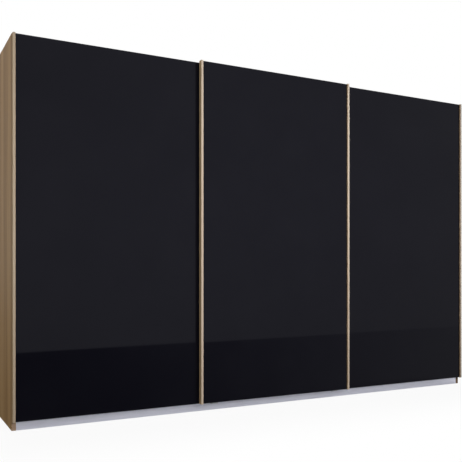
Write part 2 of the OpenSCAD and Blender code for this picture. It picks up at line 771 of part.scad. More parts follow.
module roller_middle_right() { roller(hanger_xs(door_lefts[1])[1], y_track_middle); }
module roller_right_inner() { roller(hanger_xs(door_lefts[2])[0], y_track_outer); }
module roller_right_outer() { roller(hanger_xs(door_lefts[2])[1], y_track_outer); }

side_panel_left();
side_panel_right();
partition_left();
partition_right();
bottom_board_left();
bottom_board_middle();
bottom_board_right();
top_board_left();
top_board_middle();
top_board_right();
back_panel_left();
back_panel_middle();
back_panel_right();
back_joiners();
plinth_front();
plinth_rear();
floor_glides();
cam_locks();
cam_bolts();
shelf_left();
shelf_middle();
shelf_right();
shelf_pins();
clothes_rail_left();
clothes_rail_middle();
clothes_rail_right();
rail_sockets();
running_rail();
guide_rail();
rail_screws();
track_stops();
wall_brackets();
door_left_panel();
door_left_glass();
door_left_grips();
door_left_hangers();
door_left_guide_arms();
door_left_shoes();
door_left_screws();
door_middle_panel();
door_middle_glass();
door_middle_grips();
door_middle_hangers();
door_middle_guide_arms();
door_middle_shoes();
door_middle_screws();
door_right_panel();
door_right_glass();
door_right_grips();
door_right_hangers();
door_right_guide_arms();
door_right_shoes();
door_right_screws();
roller_left_outer();
roller_left_inner();
roller_middle_left();
roller_middle_right();
roller_right_inner();
roller_right_outer();
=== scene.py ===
import math

import bmesh
import bpy
from mathutils import Matrix, Vector


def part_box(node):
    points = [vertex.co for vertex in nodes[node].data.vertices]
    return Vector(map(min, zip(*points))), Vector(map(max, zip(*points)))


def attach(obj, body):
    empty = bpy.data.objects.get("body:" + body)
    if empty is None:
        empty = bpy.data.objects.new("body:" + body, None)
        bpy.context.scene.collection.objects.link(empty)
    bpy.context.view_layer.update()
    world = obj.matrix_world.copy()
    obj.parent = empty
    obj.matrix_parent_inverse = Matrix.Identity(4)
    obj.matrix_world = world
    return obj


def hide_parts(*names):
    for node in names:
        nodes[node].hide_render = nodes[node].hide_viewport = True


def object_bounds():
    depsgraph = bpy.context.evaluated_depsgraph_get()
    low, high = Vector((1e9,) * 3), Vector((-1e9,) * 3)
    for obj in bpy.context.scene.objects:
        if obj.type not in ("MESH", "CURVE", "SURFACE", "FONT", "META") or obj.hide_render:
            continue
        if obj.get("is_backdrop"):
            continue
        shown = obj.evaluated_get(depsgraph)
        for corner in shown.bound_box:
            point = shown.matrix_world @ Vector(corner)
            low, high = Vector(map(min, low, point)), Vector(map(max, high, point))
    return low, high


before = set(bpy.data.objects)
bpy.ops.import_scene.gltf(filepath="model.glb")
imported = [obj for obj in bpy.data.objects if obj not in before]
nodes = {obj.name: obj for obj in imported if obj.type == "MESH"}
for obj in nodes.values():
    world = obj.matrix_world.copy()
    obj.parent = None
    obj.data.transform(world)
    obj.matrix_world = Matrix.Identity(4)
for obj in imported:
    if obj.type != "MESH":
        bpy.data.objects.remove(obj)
cad_low, cad_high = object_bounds()

# ---- Camera ----
# A low camera to the left of the wardrobe, turned 29 degrees to the right and held level,
# so that the uprights stay upright. The shift frames the whole front.

lens_data = bpy.data.cameras.new("camera")
lens_data.sensor_width = 36.0
lens_data.lens = 53.40
lens_data.shift_x = -0.0654
lens_data.shift_y = 0.0883
lens_data.clip_start = 0.05
lens_data.clip_end = 100.0
camera = bpy.data.objects.new("camera", lens_data)
camera.location = (-2.2035, -4.0335, 0.8422)
camera.rotation_euler = (math.radians(90.0), 0.0, math.radians(-29.05))
bpy.context.scene.collection.objects.link(camera)
bpy.context.scene.camera = camera
bpy.context.scene.view_settings.view_transform = "Standard"

# ---- Room ----
# A plain pale floor that ends about 3.7 m in front of the doors, as at the foot of a wall,
# and a white surrounding. It takes the wardrobe's shadow but bounces little light. The glass
# mirrors it as a dark floor with a painted glow lighter to the right and a painted light patch ahead.


def feed(tree, socket, value):
    """Links another node's output to a socket, or sets the socket to a number or colour."""
    if isinstance(value, bpy.types.NodeSocket):
        tree.links.new(value, socket)
    else:
        socket.default_value = value


def add_node(tree, kind, **inputs):
    """A shader node, with its inputs given as numbers, colours or other nodes' outputs."""
    made = tree.nodes.new("ShaderNode" + kind)
    for key, value in inputs.items():
        feed(tree, made.inputs[key.replace("_", " ")], value)
    return made


def calc(tree, operation, *values):
    """A Math node on numbers or outputs."""
    made = tree.nodes.new("ShaderNodeMath")
    made.operation = operation
    for socket, value in zip(made.inputs, values):
        feed(tree, socket, value)
    return made.outputs[0]


def slant(tree, first, second):
    """The slanting distance across two steps at right angles."""
    squares = [calc(tree, "POWER", step, 2.0) for step in (first, second)]
    return calc(tree, "SQRT", calc(tree, "ADD", *squares))


def blend_colours(tree, factor, first, second, how="MIX"):
    """A colour mix of two colours or outputs."""
    made = tree.nodes.new("ShaderNodeMix")
    made.data_type = "RGBA"
    made.blend_type = how
    colour_sockets = (made.inputs[0], made.inputs[6], made.inputs[7])
    for socket, value in zip(colour_sockets, (factor, first, second)):
        feed(tree, socket, value)
    return made.outputs[2]


def paint(red, green, blue):
    """A colour from its screen values of 0 to 255."""
    shares = [value / 255 for value in (red, green, blue)]
    linear = [c / 12.92 if c < 0.04045 else ((c + 0.055) / 1.055) ** 2.4 for c in shares]
    return (*linear, 1.0)


world = bpy.data.worlds.new("room")
bpy.context.scene.world = world
world.use_nodes = True
sky = world.node_tree
sky.nodes.clear()
path = add_node(sky, "LightPath")
seen = calc(sky, "MAXIMUM", path.outputs["Is Camera Ray"], path.outputs["Is Glossy Ray"])
seen = calc(sky, "MAXIMUM", seen, path.outputs["Is Transmission Ray"])
soft = add_node(sky, "Background", Color=(1.0, 0.99, 0.98, 1.0), Strength=0.30)
heading = add_node(sky, "SeparateXYZ", Vector=add_node(sky, "TexCoord").outputs["Generated"])
rightward = add_node(sky, "MapRange", Value=heading.outputs["X"], From_Min=0.35, From_Max=0.75, To_Max=0.22)
dimmed = calc(sky, "MULTIPLY", rightward.outputs[0], path.outputs["Is Glossy Ray"])
white = add_node(sky, "Background", Color=(1.0, 1.0, 1.0, 1.0), Strength=calc(sky, "SUBTRACT", 1.0, dimmed))
chosen = add_node(sky, "MixShader", Fac=seen)
sky.links.new(soft.outputs[0], chosen.inputs[1])
sky.links.new(white.outputs[0], chosen.inputs[2])
sky.links.new(chosen.outputs[0], add_node(sky, "OutputWorld").inputs["Surface"])

floor_reach = 14.0
edge_left_y, edge_right_y = -3.26, -4.72
floor_mesh = bpy.data.meshes.new("floor")
floor_mesh.from_pydata(
    [(-floor_reach, edge_left_y, 0), (floor_reach, edge_right_y, 0),
     (floor_reach, floor_reach, 0), (-floor_reach, floor_reach, 0)], [], [(0, 1, 2, 3)],
)
floor = bpy.data.objects.new("floor", floor_mesh)
bpy.context.scene.collection.objects.link(floor)
floor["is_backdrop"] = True
floor_paint = bpy.data.materials.new("pale_floor")
floor_paint.use_nodes = True
tree = floor_paint.node_tree
tree.nodes.clear()
path = add_node(tree, "LightPath")
place = add_node(tree, "SeparateXYZ", Vector=add_node(tree, "TexCoord").outputs["Object"])
beside, before = (
    calc(tree, "MAXIMUM", calc(tree, "SUBTRACT", calc(tree, "ABSOLUTE", place.outputs[axis]), half), 0.0)
    for axis, half in (("X", cad_high.x), ("Y", cad_high.y))
)
away = slant(tree, beside, before)
fade = add_node(tree, "MapRange", Value=away, From_Min=0.15, From_Max=1.0, To_Min=0.92)
fade.interpolation_type = "SMOOTHSTEP"
direct = calc(tree, "MAXIMUM", path.outputs["Is Camera Ray"], path.outputs["Is Transmission Ray"])
bare = calc(tree, "MULTIPLY", fade.outputs[0], direct)
# Painted reflection: to glossy rays the floor glows in a fan about a fixed point behind the glass, dim at
# the left and lighter to the right.
fan_x, fan_y = -2.19, 3.5
across = calc(tree, "SUBTRACT", place.outputs["X"], fan_x)
fan = calc(tree, "DIVIDE", across, calc(tree, "SUBTRACT", fan_y, place.outputs["Y"]))
painted_reflection_fan = add_node(tree, "MapRange", Value=fan, From_Min=0.30, From_Max=0.93, To_Min=0.02, To_Max=0.66)
# Painted reflection: a light grey patch on the floor just ahead of the wardrobe, seen only by glossy rays,
# so that the plinth's foil mirrors light.
near = add_node(tree, "MapRange", Value=before, From_Min=0.16, From_Max=0.34, To_Min=1.0, To_Max=0.0)
between_sides = calc(tree, "LESS_THAN", beside, 0.02)
ahead = calc(tree, "MULTIPLY", between_sides, calc(tree, "LESS_THAN", place.outputs["Y"], 0.0))
near = calc(tree, "MULTIPLY", near.outputs[0], calc(tree, "MULTIPLY", ahead, path.outputs["Is Glossy Ray"]))
dark_grey, light_grey, near_white = ((tone, tone, tone, 1.0) for tone in (0.07, 0.70, 0.94))
tone = blend_colours(tree, direct, blend_colours(tree, near, dark_grey, light_grey), near_white)
lit = add_node(tree, "BsdfDiffuse", Color=tone)
far = calc(tree, "SUBTRACT", path.outputs["Is Glossy Ray"], near)
painted_fan_glow = calc(tree, "MULTIPLY", path.outputs["Is Glossy Ray"], painted_reflection_fan.outputs[0])
glow = add_node(tree, "Emission", Color=(1.0, 1.0, 1.0, 1.0),
                Strength=calc(tree, "ADD", direct, painted_fan_glow))
chosen = add_node(tree, "MixShader", Fac=calc(tree, "MAXIMUM", bare, far))
tree.links.new(lit.outputs[0], chosen.inputs[1])
tree.links.new(glow.outputs[0], chosen.inputs[2])
tree.links.new(chosen.outputs[0], add_node(tree, "OutputMaterial").inputs["Surface"])
floor_mesh.materials.append(floor_paint)

# ---- Lamps ----
# Three large soft lamps: a wide one at eye height in front, one high on the left and a
# strong one high behind, so that no side lies in darkness.

for name, place, target, width, height, power, spread in (
    ("lamp_front", (0.5, -3.8, 1.65), (-0.1, 0.0, 1.25), 4.4, 0.8, 46.0, 95.0),
    ("lamp_left", (-5.6, -2.4, 3.4), (-1.4, 0.0, 1.5), 2.0, 2.0, 44.0, 180.0),
    ("lamp_back", (0.8, 6.4, 3.2), (0.0, 0.3, 1.0), 5.0, 3.0, 480.0, 180.0),
):
    data = bpy.data.lights.new(name, "AREA")
    data.shape = "RECTANGLE"
    data.size, data.size_y, data.energy = width, height, power
    data.spread = math.radians(spread)
    lamp = bpy.data.objects.new(name, data)
    lamp.location = place
    aim = Vector(target) - Vector(place)
    lamp.rotation_euler = aim.to_track_quat("-Z", "Y").to_euler()
    lamp.visible_camera = False
    lamp.visible_glossy = False
    bpy.context.scene.collection.objects.link(lamp)

# ---- Side panels ----
# 22 mm particle board under an oak decor foil whose grain runs upright.
# The rear edges are left raw, and the front edges have a thin glued edging, painted darker as shade, the
# right one far darker.


def material(name, roughness=0.5, metallic=0.0, specular=0.5):
    """A new material with its node tree and shader."""
    made = bpy.data.materials.new(name)
    made.use_nodes = True
    shader = made.node_tree.nodes["Principled BSDF"]
    shader.inputs["Roughness"].default_value = roughness
    shader.inputs["Metallic"].default_value = metallic
    shader.inputs["Specular IOR Level"].default_value = specular
    return made, made.node_tree, shader


def streaks(tree, axis, across, along, detail=4.0, distortion=0.0, offset=0.0):
    """Noise drawn out along one axis, with its rate across and along given per metre."""
    scale = [across] * 3
    scale["XYZ".index(axis)] = along
    at = add_node(
        tree, "Mapping", Vector=add_node(tree, "TexCoord").outputs["Object"],
        Scale=scale, Location=(offset, offset * 1.7, offset * 0.6),
    )
    return add_node(
        tree, "TexNoise", Vector=at.outputs[0], Scale=1.0, Detail=detail,
        Roughness=0.6, Distortion=distortion,
    ).outputs["Fac"]


def ramp(tree, value, *stops):
    """A colour ramp from pairs of position and colour."""
    made = tree.nodes.new("ShaderNodeValToRGB")
    band = made.color_ramp
    while len(band.elements) < len(stops):
        band.elements.new(0.5)
    for element, (position, colour) in zip(band.elements, stops):
        element.position = position
        element.color = colour
    tree.links.new(value, made.inputs["Fac"])
    return made.outputs["Color"]


def bump(tree, shader, relief, strength, height):
    """A fine relief on the shader's normal."""
    made = add_node(tree, "Bump", Height=relief, Strength=strength, Distance=height)
    tree.links.new(made.outputs["Normal"], shader.inputs["Normal"])


def mingle(tree, share, first, second):
    """Two noises in one: the first one's share is given, and the second has the rest."""
    rest = calc(tree, "MULTIPLY", second, 1.0 - share)
    return calc(tree, "ADD", calc(tree, "MULTIPLY", first, share), rest)


def facing(tree, axis, sign=1.0, least=0.7):
    """1 where the surface faces along an axis of the piece, else 0."""
    normal = add_node(tree, "SeparateXYZ", Vector=add_node(tree, "TexCoord").outputs["Normal"])
    turned = calc(tree, "MULTIPLY", normal.outputs[axis], sign)
    return calc(tree, "GREATER_THAN", turned, least)


def chips(tree):
    """The pressed chips of a particle board's raw edge."""
    at = add_node(tree, "TexCoord").outputs["Object"]
    cells = add_node(tree, "TexVoronoi", Vector=at, Scale=420.0)
    flecks = add_node(tree, "SeparateColor", Color=cells.outputs["Color"]).outputs[0]
    return ramp(
        tree, flecks, (0.0, paint(154, 122, 86)), (0.35, paint(178, 147, 108)),
        (0.7, paint(193, 164, 125)), (1.0, paint(208, 182, 144)),
    )


def oak(name, tones, roughness=0.52):
    """Upright oak decor: broad bands, fine fibres and short pores. It gives the material,
    its tree, its shader and the decor's colour."""
    made, tree, shader = material(name, roughness=roughness, specular=0.05)
    bands = streaks(tree, "Z", 9.0, 0.28, detail=2.0, distortion=0.8)
    fibres = streaks(tree, "Z", 210.0, 2.2, detail=5.0, offset=3.1)
    pores = streaks(tree, "Z", 1100.0, 22.0, detail=2.0, offset=7.7)
    *band_tones, pore_tone = tones
    stops = zip((0.34, 0.44, 0.52, 0.60), band_tones)
    colour = ramp(tree, mingle(tree, 0.62, bands, fibres), *stops)
    specks = add_node(tree, "MapRange", Value=pores, From_Min=0.60, From_Max=0.72)
    pore_ink = calc(tree, "MULTIPLY", specks.outputs[0], 0.45)
    colour = blend_colours(tree, pore_ink, colour, pore_tone)
    gloss = add_node(tree, "MapRange", Value=fibres, To_Min=roughness - 0.06, To_Max=roughness + 0.10)
    tree.links.new(gloss.outputs[0], shader.inputs["Roughness"])
    fibre_height = calc(tree, "MULTIPLY", fibres, 0.5)
    relief = calc(tree, "SUBTRACT", fibre_height, specks.outputs[0])
    bump(tree, shader, relief, strength=0.35, height=0.0002)
    return made, tree, shader, colour


def textile(tree, light, dark):
    """The colour of a textile decor: fine crossing threads."""
    threads = [streaks(tree, axis, 900.0, 40.0, detail=2.0, offset=i * 2.3) for i, axis in enumerate("XYZ")]
    cloth = calc(tree, "ADD", calc(tree, "ADD", threads[0], threads[1]), threads[2])
    return ramp(tree, calc(tree, "DIVIDE", cloth, float(len(threads))), (0.38, dark), (0.60, light))


def drillings(tree, colour, rows, pitch=0.032, radius=0.0025, low=0.35, high=1.70):
    """Rows of blind holes up an inner face, painted as dark spots of shade, one row at each depth in rows.
    """
    place = add_node(tree, "SeparateXYZ", Vector=add_node(tree, "TexCoord").outputs["Object"])
    height = place.outputs["Z"]
    step = calc(tree, "SUBTRACT", calc(tree, "FRACT", calc(tree, "DIVIDE", height, pitch)), 0.5)
    up = calc(tree, "MULTIPLY", step, pitch)
    above_low = calc(tree, "GREATER_THAN", height, low)
    inside = calc(tree, "MULTIPLY", above_low, calc(tree, "LESS_THAN", height, high))
    for row in rows:
        reach = slant(tree, calc(tree, "SUBTRACT", place.outputs["Y"], row), up)
        painted_hole_shade = calc(tree, "MULTIPLY", calc(tree, "LESS_THAN", reach, radius), inside)
        # Painted shade: each hole is a dark spot, not a recess.
        colour = blend_colours(tree, painted_hole_shade, colour, paint(58, 47, 36))
    return colour


def dress(name, made, edge=0.0):
    """Gives a CAD node its material and rounds its edges."""
    piece = nodes[name]
    piece.data.materials.clear()
    piece.data.materials.append(made)
    if edge:
        weld = piece.modifiers.new("weld", "WELD")
        weld.merge_threshold = 0.00001
        rounding = piece.modifiers.new("edges", "BEVEL")
        rounding.width = edge
        rounding.segments = 2
        rounding.limit_method = "ANGLE"
        rounding.angle_limit = math.radians(50.0)
        rounding.harden_normals = True


panel_tones = (
    paint(150, 113, 73), paint(171, 134, 91), paint(187, 150, 104),
    paint(201, 166, 120), paint(108, 77, 46),
)
textile_light, textile_dark = paint(206, 197, 182), paint(176, 166, 150)
pin_r = 0.0025
pin_low, pin_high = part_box("shelf_pins")
pin_rows = (pin_low.y + pin_r, pin_high.y - pin_r)
for name, inward, edging_and_shade_tone in (
    ("side_panel_left", 1.0, paint(160, 137, 122)), ("side_panel_right", -1.0, paint(84, 64, 54)),
):
    side_oak, tree, shader, colour = oak("oak_" + name, panel_tones)
    inner = drillings(tree, textile(tree, textile_light, textile_dark), pin_rows)
    colour = blend_colours(tree, facing(tree, "X", inward), colour, inner)
    # Painted shade: the front edges take a darker tone for the shade under the doors, much darker on the
    # right panel.
    edging = calc(tree, "MULTIPLY", facing(tree, "Y", -1.0), 0.75)
    colour = blend_colours(tree, edging, colour, edging_and_shade_tone)
    colour = blend_colours(tree, facing(tree, "Y"), colour, chips(tree))
    tree.links.new(colour, shader.inputs["Base Color"])
    dress(name, side_oak, edge=0.0006)

# ---- Partitions, top boards and bottom boards ----
# 16 and 18 mm particle board in a light textile decor, with a row of 5 mm holes, painted as
# dark spots of shade, near each edge of the partitions. The rear edges are raw.


def board(name, holes=False, raw_rear=True):
    """Textile decor with a slightly darker edging in front and, as a rule, raw chips at the rear."""
    made, tree, shader = material(name, roughness=0.6, specular=0.35)
    colour = textile(tree, textile_light, textile_dark)
    weave = add_node(tree, "TexNoise", Vector=add_node(tree, "TexCoord").outputs["Object"],
                     Scale=1400.0, Detail=2.0).outputs["Fac"]
    bump(tree, shader, weave, strength=0.2, height=0.0001)
    if holes:
        faces = calc(tree, "MAXIMUM", facing(tree, "X"), facing(tree, "X", -1.0))
        colour = blend_colours(tree, faces, colour, drillings(tree, colour, pin_rows))
    colour = blend_colours(tree, calc(tree, "MULTIPLY", facing(tree, "Y", -1.0), 0.35), colour, textile_dark)
    if raw_rear:
        colour = blend_colours(tree, facing(tree, "Y"), colour, chips(tree))
    tree.links.new(colour, shader.inputs["Base Color"])
    return made


inner_decor = board("textile_board")
drilled_decor = board("textile_board_drilled", holes=True)
for name in ("partition_left", "partition_right"):
    dress(name, drilled_decor, edge=0.0004)
for bay in ("left", "middle", "right"):
    dress("bottom_board_" + bay, inner_decor, edge=0.0004)
    dress("top_board_" + bay, inner_decor, edge=0.0004)

# ---- Back panels and their joiners ----
# 3 mm hardboard, printed to match the inside and raw brown at the rear. A plastic
# H-section holds the two leaves of each back together.

hardboard, tree, shader = material("hardboard", roughness=0.7, specular=0.3)
front_side = textile(tree, paint(204, 195, 180), paint(178, 168, 152))
at = add_node(tree, "TexCoord").outputs["Object"]
fibre = add_node(tree, "TexNoise", Vector=at, Scale=260.0, Detail=6.0, Roughness=0.7).outputs["Fac"]
cloud = add_node(tree, "TexNoise", Vector=at, Scale=5.0, Detail=3.0).outputs["Fac"]
rear_side = ramp(
    tree, mingle(tree, 0.86, fibre, cloud),
    (0.28, paint(118, 90, 64)), (0.5, paint(146, 114, 83)), (0.74, paint(170, 139, 106)),
)
colour = blend_colours(tree, facing(tree, "Y"), front_side, rear_side)
tree.links.new(colour, shader.inputs["Base Color"])
bump(tree, shader, fibre, strength=0.2, height=0.0002)
for name in ("back_panel_left", "back_panel_middle", "back_panel_right"):
    dress(name, hardboard)

joiner_plastic, tree, shader = material("beige_plastic", roughness=0.45)
lines = streaks(tree, "Z", 500.0, 1.0, detail=2.0)
tree.links.new(ramp(tree, lines, (0.3, paint(176, 166, 150)), (0.7, paint(190, 181, 166))),
               shader.inputs["Base Color"])
dress("back_joiners", joiner_plastic, edge=0.0002)

# ---- Plinths ----
# Both are 16 mm board under the bottom boards. The front one has a foil with the look of
# brushed aluminium. The rear one has the inner decor and is in three pieces, one to a bay.

brushed, tree, shader = material("brushed_foil", roughness=0.36, metallic=0.7, specular=0.4)
hairs = streaks(tree, "X", 1500.0, 6.0, detail=3.0)
broad = streaks(tree, "X", 60.0, 1.2, detail=3.0, offset=4.4)
colour = ramp(
    tree, mingle(tree, 0.55, hairs, broad),
    (0.36, paint(222, 223, 237)), (0.5, paint(230, 231, 245)), (0.64, paint(238, 239, 252)),
)
tree.links.new(colour, shader.inputs["Base Color"])
gloss = add_node(tree, "MapRange", Value=hairs, To_Min=0.26, To_Max=0.44)
tree.links.new(gloss.outputs[0], shader.inputs["Roughness"])
bump(tree, shader, hairs, strength=0.25, height=0.0001)
dress("plinth_front", brushed, edge=0.0005)
dress("plinth_rear", inner_decor, edge=0.0004)

# ---- Floor glides ----
# Round black glides of moulded plastic. Each is nailed under an upright, and keeps the raw
# edge of the board off the floor.

glide_plastic, tree, shader = material("glide_plastic", roughness=0.5)
at = add_node(tree, "TexCoord").outputs["Object"]
speckle = add_node(tree, "TexNoise", Vector=at, Scale=900.0, Detail=3.0).outputs["Fac"]
tree.links.new(ramp(tree, speckle, (0.3, paint(26, 26, 28)), (0.7, paint(44, 44, 47))),
               shader.inputs["Base Color"])
bump(tree, shader, speckle, strength=0.15, height=0.0001)
dress("floor_glides", glide_plastic, edge=0.0005)

# ---- Cam locks and cam bolts ----
# Die-cast zinc cams lie in bores near the boards' ends. Each is turned with a driver onto
# the head of a steel bolt in the upright, and so pulls the board and the upright together.

zinc, tree, shader = material("zinc", roughness=0.38, metallic=1.0)
at = add_node(tree, "TexCoord").outputs["Object"]
spangle = add_node(tree, "TexVoronoi", Vector=at, Scale=160.0)
flake = add_node(tree, "SeparateColor", Color=spangle.outputs["Color"]).outputs[0]
haze = add_node(tree, "TexNoise", Vector=at, Scale=70.0, Detail=4.0).outputs["Fac"]
mixed = mingle(tree, 0.35, flake, haze)
tree.links.new(ramp(tree, mixed, (0.25, paint(150, 153, 157)), (0.75, paint(196, 199, 203))),
               shader.inputs["Base Color"])
gloss = add_node(tree, "MapRange", Value=mixed, To_Min=0.28, To_Max=0.48)
tree.links.new(gloss.outputs[0], shader.inputs["Roughness"])
dress("cam_bolts", zinc, edge=0.0003)


def solids(name):
    """The lowest and highest corner of each separate solid of a CAD node, in a fixed order."""
    shape = bmesh.new()
    shape.from_mesh(nodes[name].data)
    bmesh.ops.remove_doubles(shape, verts=shape.verts, dist=1e-6)
    waiting = set(shape.verts)
    boxes = []
    while waiting:
        group = [waiting.pop()]
        for vert in group:
            linked = {edge.other_vert(vert) for edge in vert.link_edges} & waiting
            waiting -= linked
            group.extend(linked)
        corners = [[pick(v.co[i] for v in group) for i in range(3)] for pick in (min, max)]
        boxes.append((Vector(corners[0]), Vector(corners[1])))
    shape.free()
    return sorted(boxes, key=lambda box: tuple(round(c, 5) for c in box[0]))


def turn(shape, profile, steps):
    """Turns a profile of (radius, height) about Z. It gives the first ring and the last."""
    rings = []
    for radius, height in profile:
        ring = []
        for i in range(steps):
            angle = math.tau * i / steps
            ring.append(shape.verts.new((radius * math.cos(angle), radius * math.sin(angle), height)))
        rings.append(ring)
    for upper, lower in zip(rings, rings[1:]):
        for i in range(steps):
            j = (i + 1) % steps
            shape.faces.new((upper[i], lower[i], lower[j], upper[j]))
    return rings[0], rings[-1]


def loop_edges(shape, ring):
    """The edges round a closed ring of points."""
    pairs = zip(ring, ring[1:] + ring[:1])
    return [shape.edges.get(pair) or shape.edges.new(pair) for pair in pairs]


def cross_head(shape, ring, reach, half, depth, taper=0.72):
    """Closes a round head with a flat face that has a cross recess for a driver."""
    top = ring[0].co.z
    arms = []
    for quarter in range(4):
        turned = Matrix.Rotation(quarter * math.pi / 2, 3, "Z")
        arms += [turned @ Vector(at) for at in ((reach, -half, 0), (reach, half, 0), (half, half, 0))]
    upper = [shape.verts.new((a.x, a.y, top)) for a in arms]
    lower = [shape.verts.new((a.x * taper, a.y * taper, top - depth)) for a in arms]
    edges = loop_edges(shape, ring) + loop_edges(shape, upper)
    bmesh.ops.triangle_fill(shape, edges=edges, use_beauty=True)
    for i in range(len(arms)):
        j = (i + 1) % len(arms)
        shape.faces.new((upper[i], upper[j], lower[j], lower[i]))
    shape.faces.new(lower)


def repeat(name, shape, places, made, body, slot, *stands_for):
    """One piece from copies of a shape, each put in place by a matrix."""
    bmesh.ops.recalc_face_normals(shape, faces=shape.faces)
    single = bpy.data.meshes.new(name + "_single")
    shape.to_mesh(single)
    shape.free()
    joined = bmesh.new()
    for place in places:
        copy = single.copy()
        copy.transform(place)
        joined.from_mesh(copy)
        bpy.data.meshes.remove(copy)
    mesh = bpy.data.meshes.new(name)
    joined.to_mesh(mesh)
    joined.free()
    bpy.data.meshes.remove(single)
    mesh.materials.append(made)
    piece = bpy.data.objects.new(name, mesh)
    bpy.context.scene.collection.objects.link(piece)
    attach(piece, body)
    if stands_for:
        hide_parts(*stands_for)


cams = solids("cam_locks")
cam_r = (cams[0][1].x - cams[0][0].x) / 2
cam_h = cams[0][1].z - cams[0][0].z
dish_r, dish_h = cam_r - 0.0018, 0.0006
rim_r = cam_r - 0.0014
chamfer, foot_chamfer = 0.0004, 0.0005
head_turn = 2.4
cam = bmesh.new()
top_ring, low_ring = turn(cam, (
    (dish_r, -dish_h), (rim_r, 0.0), (cam_r - chamfer, 0.0), (cam_r, -chamfer),
    (cam_r, -cam_h + foot_chamfer), (cam_r - foot_chamfer, -cam_h),
), steps=32)
cross_head(cam, top_ring, reach=0.0042, half=0.0008, depth=0.0035)
cam.faces.new(low_ring)
middle_z = (cad_low.z + cad_high.z) / 2
places = []
for i, (low, high) in enumerate(cams):
    above = low.z > middle_z
    centre = (low + high) / 2
    centre.z = high.z if above else low.z
    over = Matrix.Identity(4) if above else Matrix.Rotation(math.pi, 4, "X")
    places.append(Matrix.Translation(centre) @ over @ Matrix.Rotation(i * head_turn, 4, "Z"))
repeat("cam_lock_set", cam, places, zinc, "carcass", "zinc", "cam_locks")

# ---- Shelves and shelf pins ----
# 16 mm boards in the inner decor. Each lies loose on four 5 mm steel pins, which are pushed
# into the rows of holes.

for name in ("shelf_left", "shelf_middle", "shelf_right"):
    dress(name, inner_decor, edge=0.0005)
dress("shelf_pins", zinc, edge=0.0003)

# ---- Clothes rails and their sockets ----
# Oval tube of chromed steel, 15 by 30 mm. Its ends sit in die-cast sockets, which are
# screwed to the uprights.

chrome, tree, shader = material("chrome", roughness=0.08, metallic=1.0)
at = add_node(tree, "TexCoord").outputs["Object"]
mist = add_node(tree, "TexNoise", Vector=at, Scale=40.0, Detail=5.0).outputs["Fac"]
tree.links.new(ramp(tree, mist, (0.3, paint(214, 216, 219)), (0.7, paint(228, 229, 231))),
               shader.inputs["Base Color"])
gloss = add_node(tree, "MapRange", Value=mist, To_Min=0.05, To_Max=0.13)
tree.links.new(gloss.outputs[0], shader.inputs["Roughness"])
for name in ("clothes_rail_left", "clothes_rail_middle", "clothes_rail_right", "rail_sockets"):
    dress(name, chrome)

# ---- Running rail and guide rail ----
# Extruded aluminium, anodised: the double track on the top boards and the double
# groove on the bottom boards.

anodised, tree, shader = material("anodised", roughness=0.36, metallic=1.0)
die_lines = streaks(tree, "X", 2200.0, 0.6, detail=3.0)
tree.links.new(ramp(tree, die_lines, (0.3, paint(176, 178, 182)), (0.7, paint(200, 202, 205))),
               shader.inputs["Base Color"])
bump(tree, shader, die_lines, strength=0.2, height=0.0001)
dress("running_rail", anodised)
dress("guide_rail", anodised)

# ---- Track stops ----
# Black rubber blocks that keep the rollers on the tracks. They are pressed onto the ribs at
# the ends of the running rail.

rubber, tree, shader = material("rubber", roughness=0.8, specular=0.3)
at = add_node(tree, "TexCoord").outputs["Object"]
dust = add_node(tree, "TexNoise", Vector=at, Scale=300.0, Detail=5.0).outputs["Fac"]
tree.links.new(ramp(tree, dust, (0.35, paint(22, 22, 22)), (0.75, paint(48, 47, 46))),
               shader.inputs["Base Color"])
bump(tree, shader, dust, strength=0.3, height=0.0002)
dress("track_stops", rubber, edge=0.001)

# ---- Wall brackets ----
# Angles folded from zinc-plated steel sheet. They are screwed to the top boards, and a screw
# through the upright leg holds the wardrobe to the wall.

dress("wall_brackets", zinc, edge=0.0003)

# ---- Door panels ----
# 16 mm board behind each glass, in the inner decor on the side that faces the clothes. The
# glass is glued to it, and the hangers and arms are screwed to its rear face.

door_decor = board("textile_door", raw_rear=False)
for door in ("left", "middle", "right"):
    dress("door_%s_panel" % door, door_decor, edge=0.0004)

# ---- Door glass ----
# 4 mm float glass with black lacquer on its rear face and polished edges. It is glued
# to the panel between the grip strips.

black_glass, tree, shader = material("black_glass", roughness=0.03, specular=0.115)
shader.inputs["Specular Tint"].default_value = (0.90, 0.90, 1.0, 1.0)
at = add_node(tree, "TexCoord").outputs["Object"]
smear = add_node(tree, "TexNoise", Vector=at, Scale=3.0, Detail=6.0, Roughness=0.65).outputs["Fac"]
lacquer = ramp(tree, smear, (0.35, (0.0048, 0.0047, 0.0080, 1)), (0.65, (0.0060, 0.0059, 0.0094, 1)))
rim = calc(tree, "MAXIMUM", facing(tree, "Z"), facing(tree, "Z", -1.0))
green_edge = (0.012, 0.020, 0.018, 1)
colour = blend_colours(tree, rim, lacquer, green_edge)
tree.links.new(colour, shader.inputs["Base Color"])
gloss = add_node(tree, "MapRange", Value=smear, To_Min=0.015, To_Max=0.05)
tree.links.new(gloss.outputs[0], shader.inputs["Roughness"])
for door in ("left", "middle", "right"):
    dress("door_%s_glass" % door, black_glass, edge=0.0006)

# ---- Grip strips ----
# Upright strips of fibre board, wrapped in oak decor, on both edges of each door. They
# stand 10 mm proud of the glass, so that the fingers can pull the door by them.

strip_tones = ((190, 171, 152), (197, 178, 159), (202, 185, 166), (208, 192, 174), (164, 140, 114))
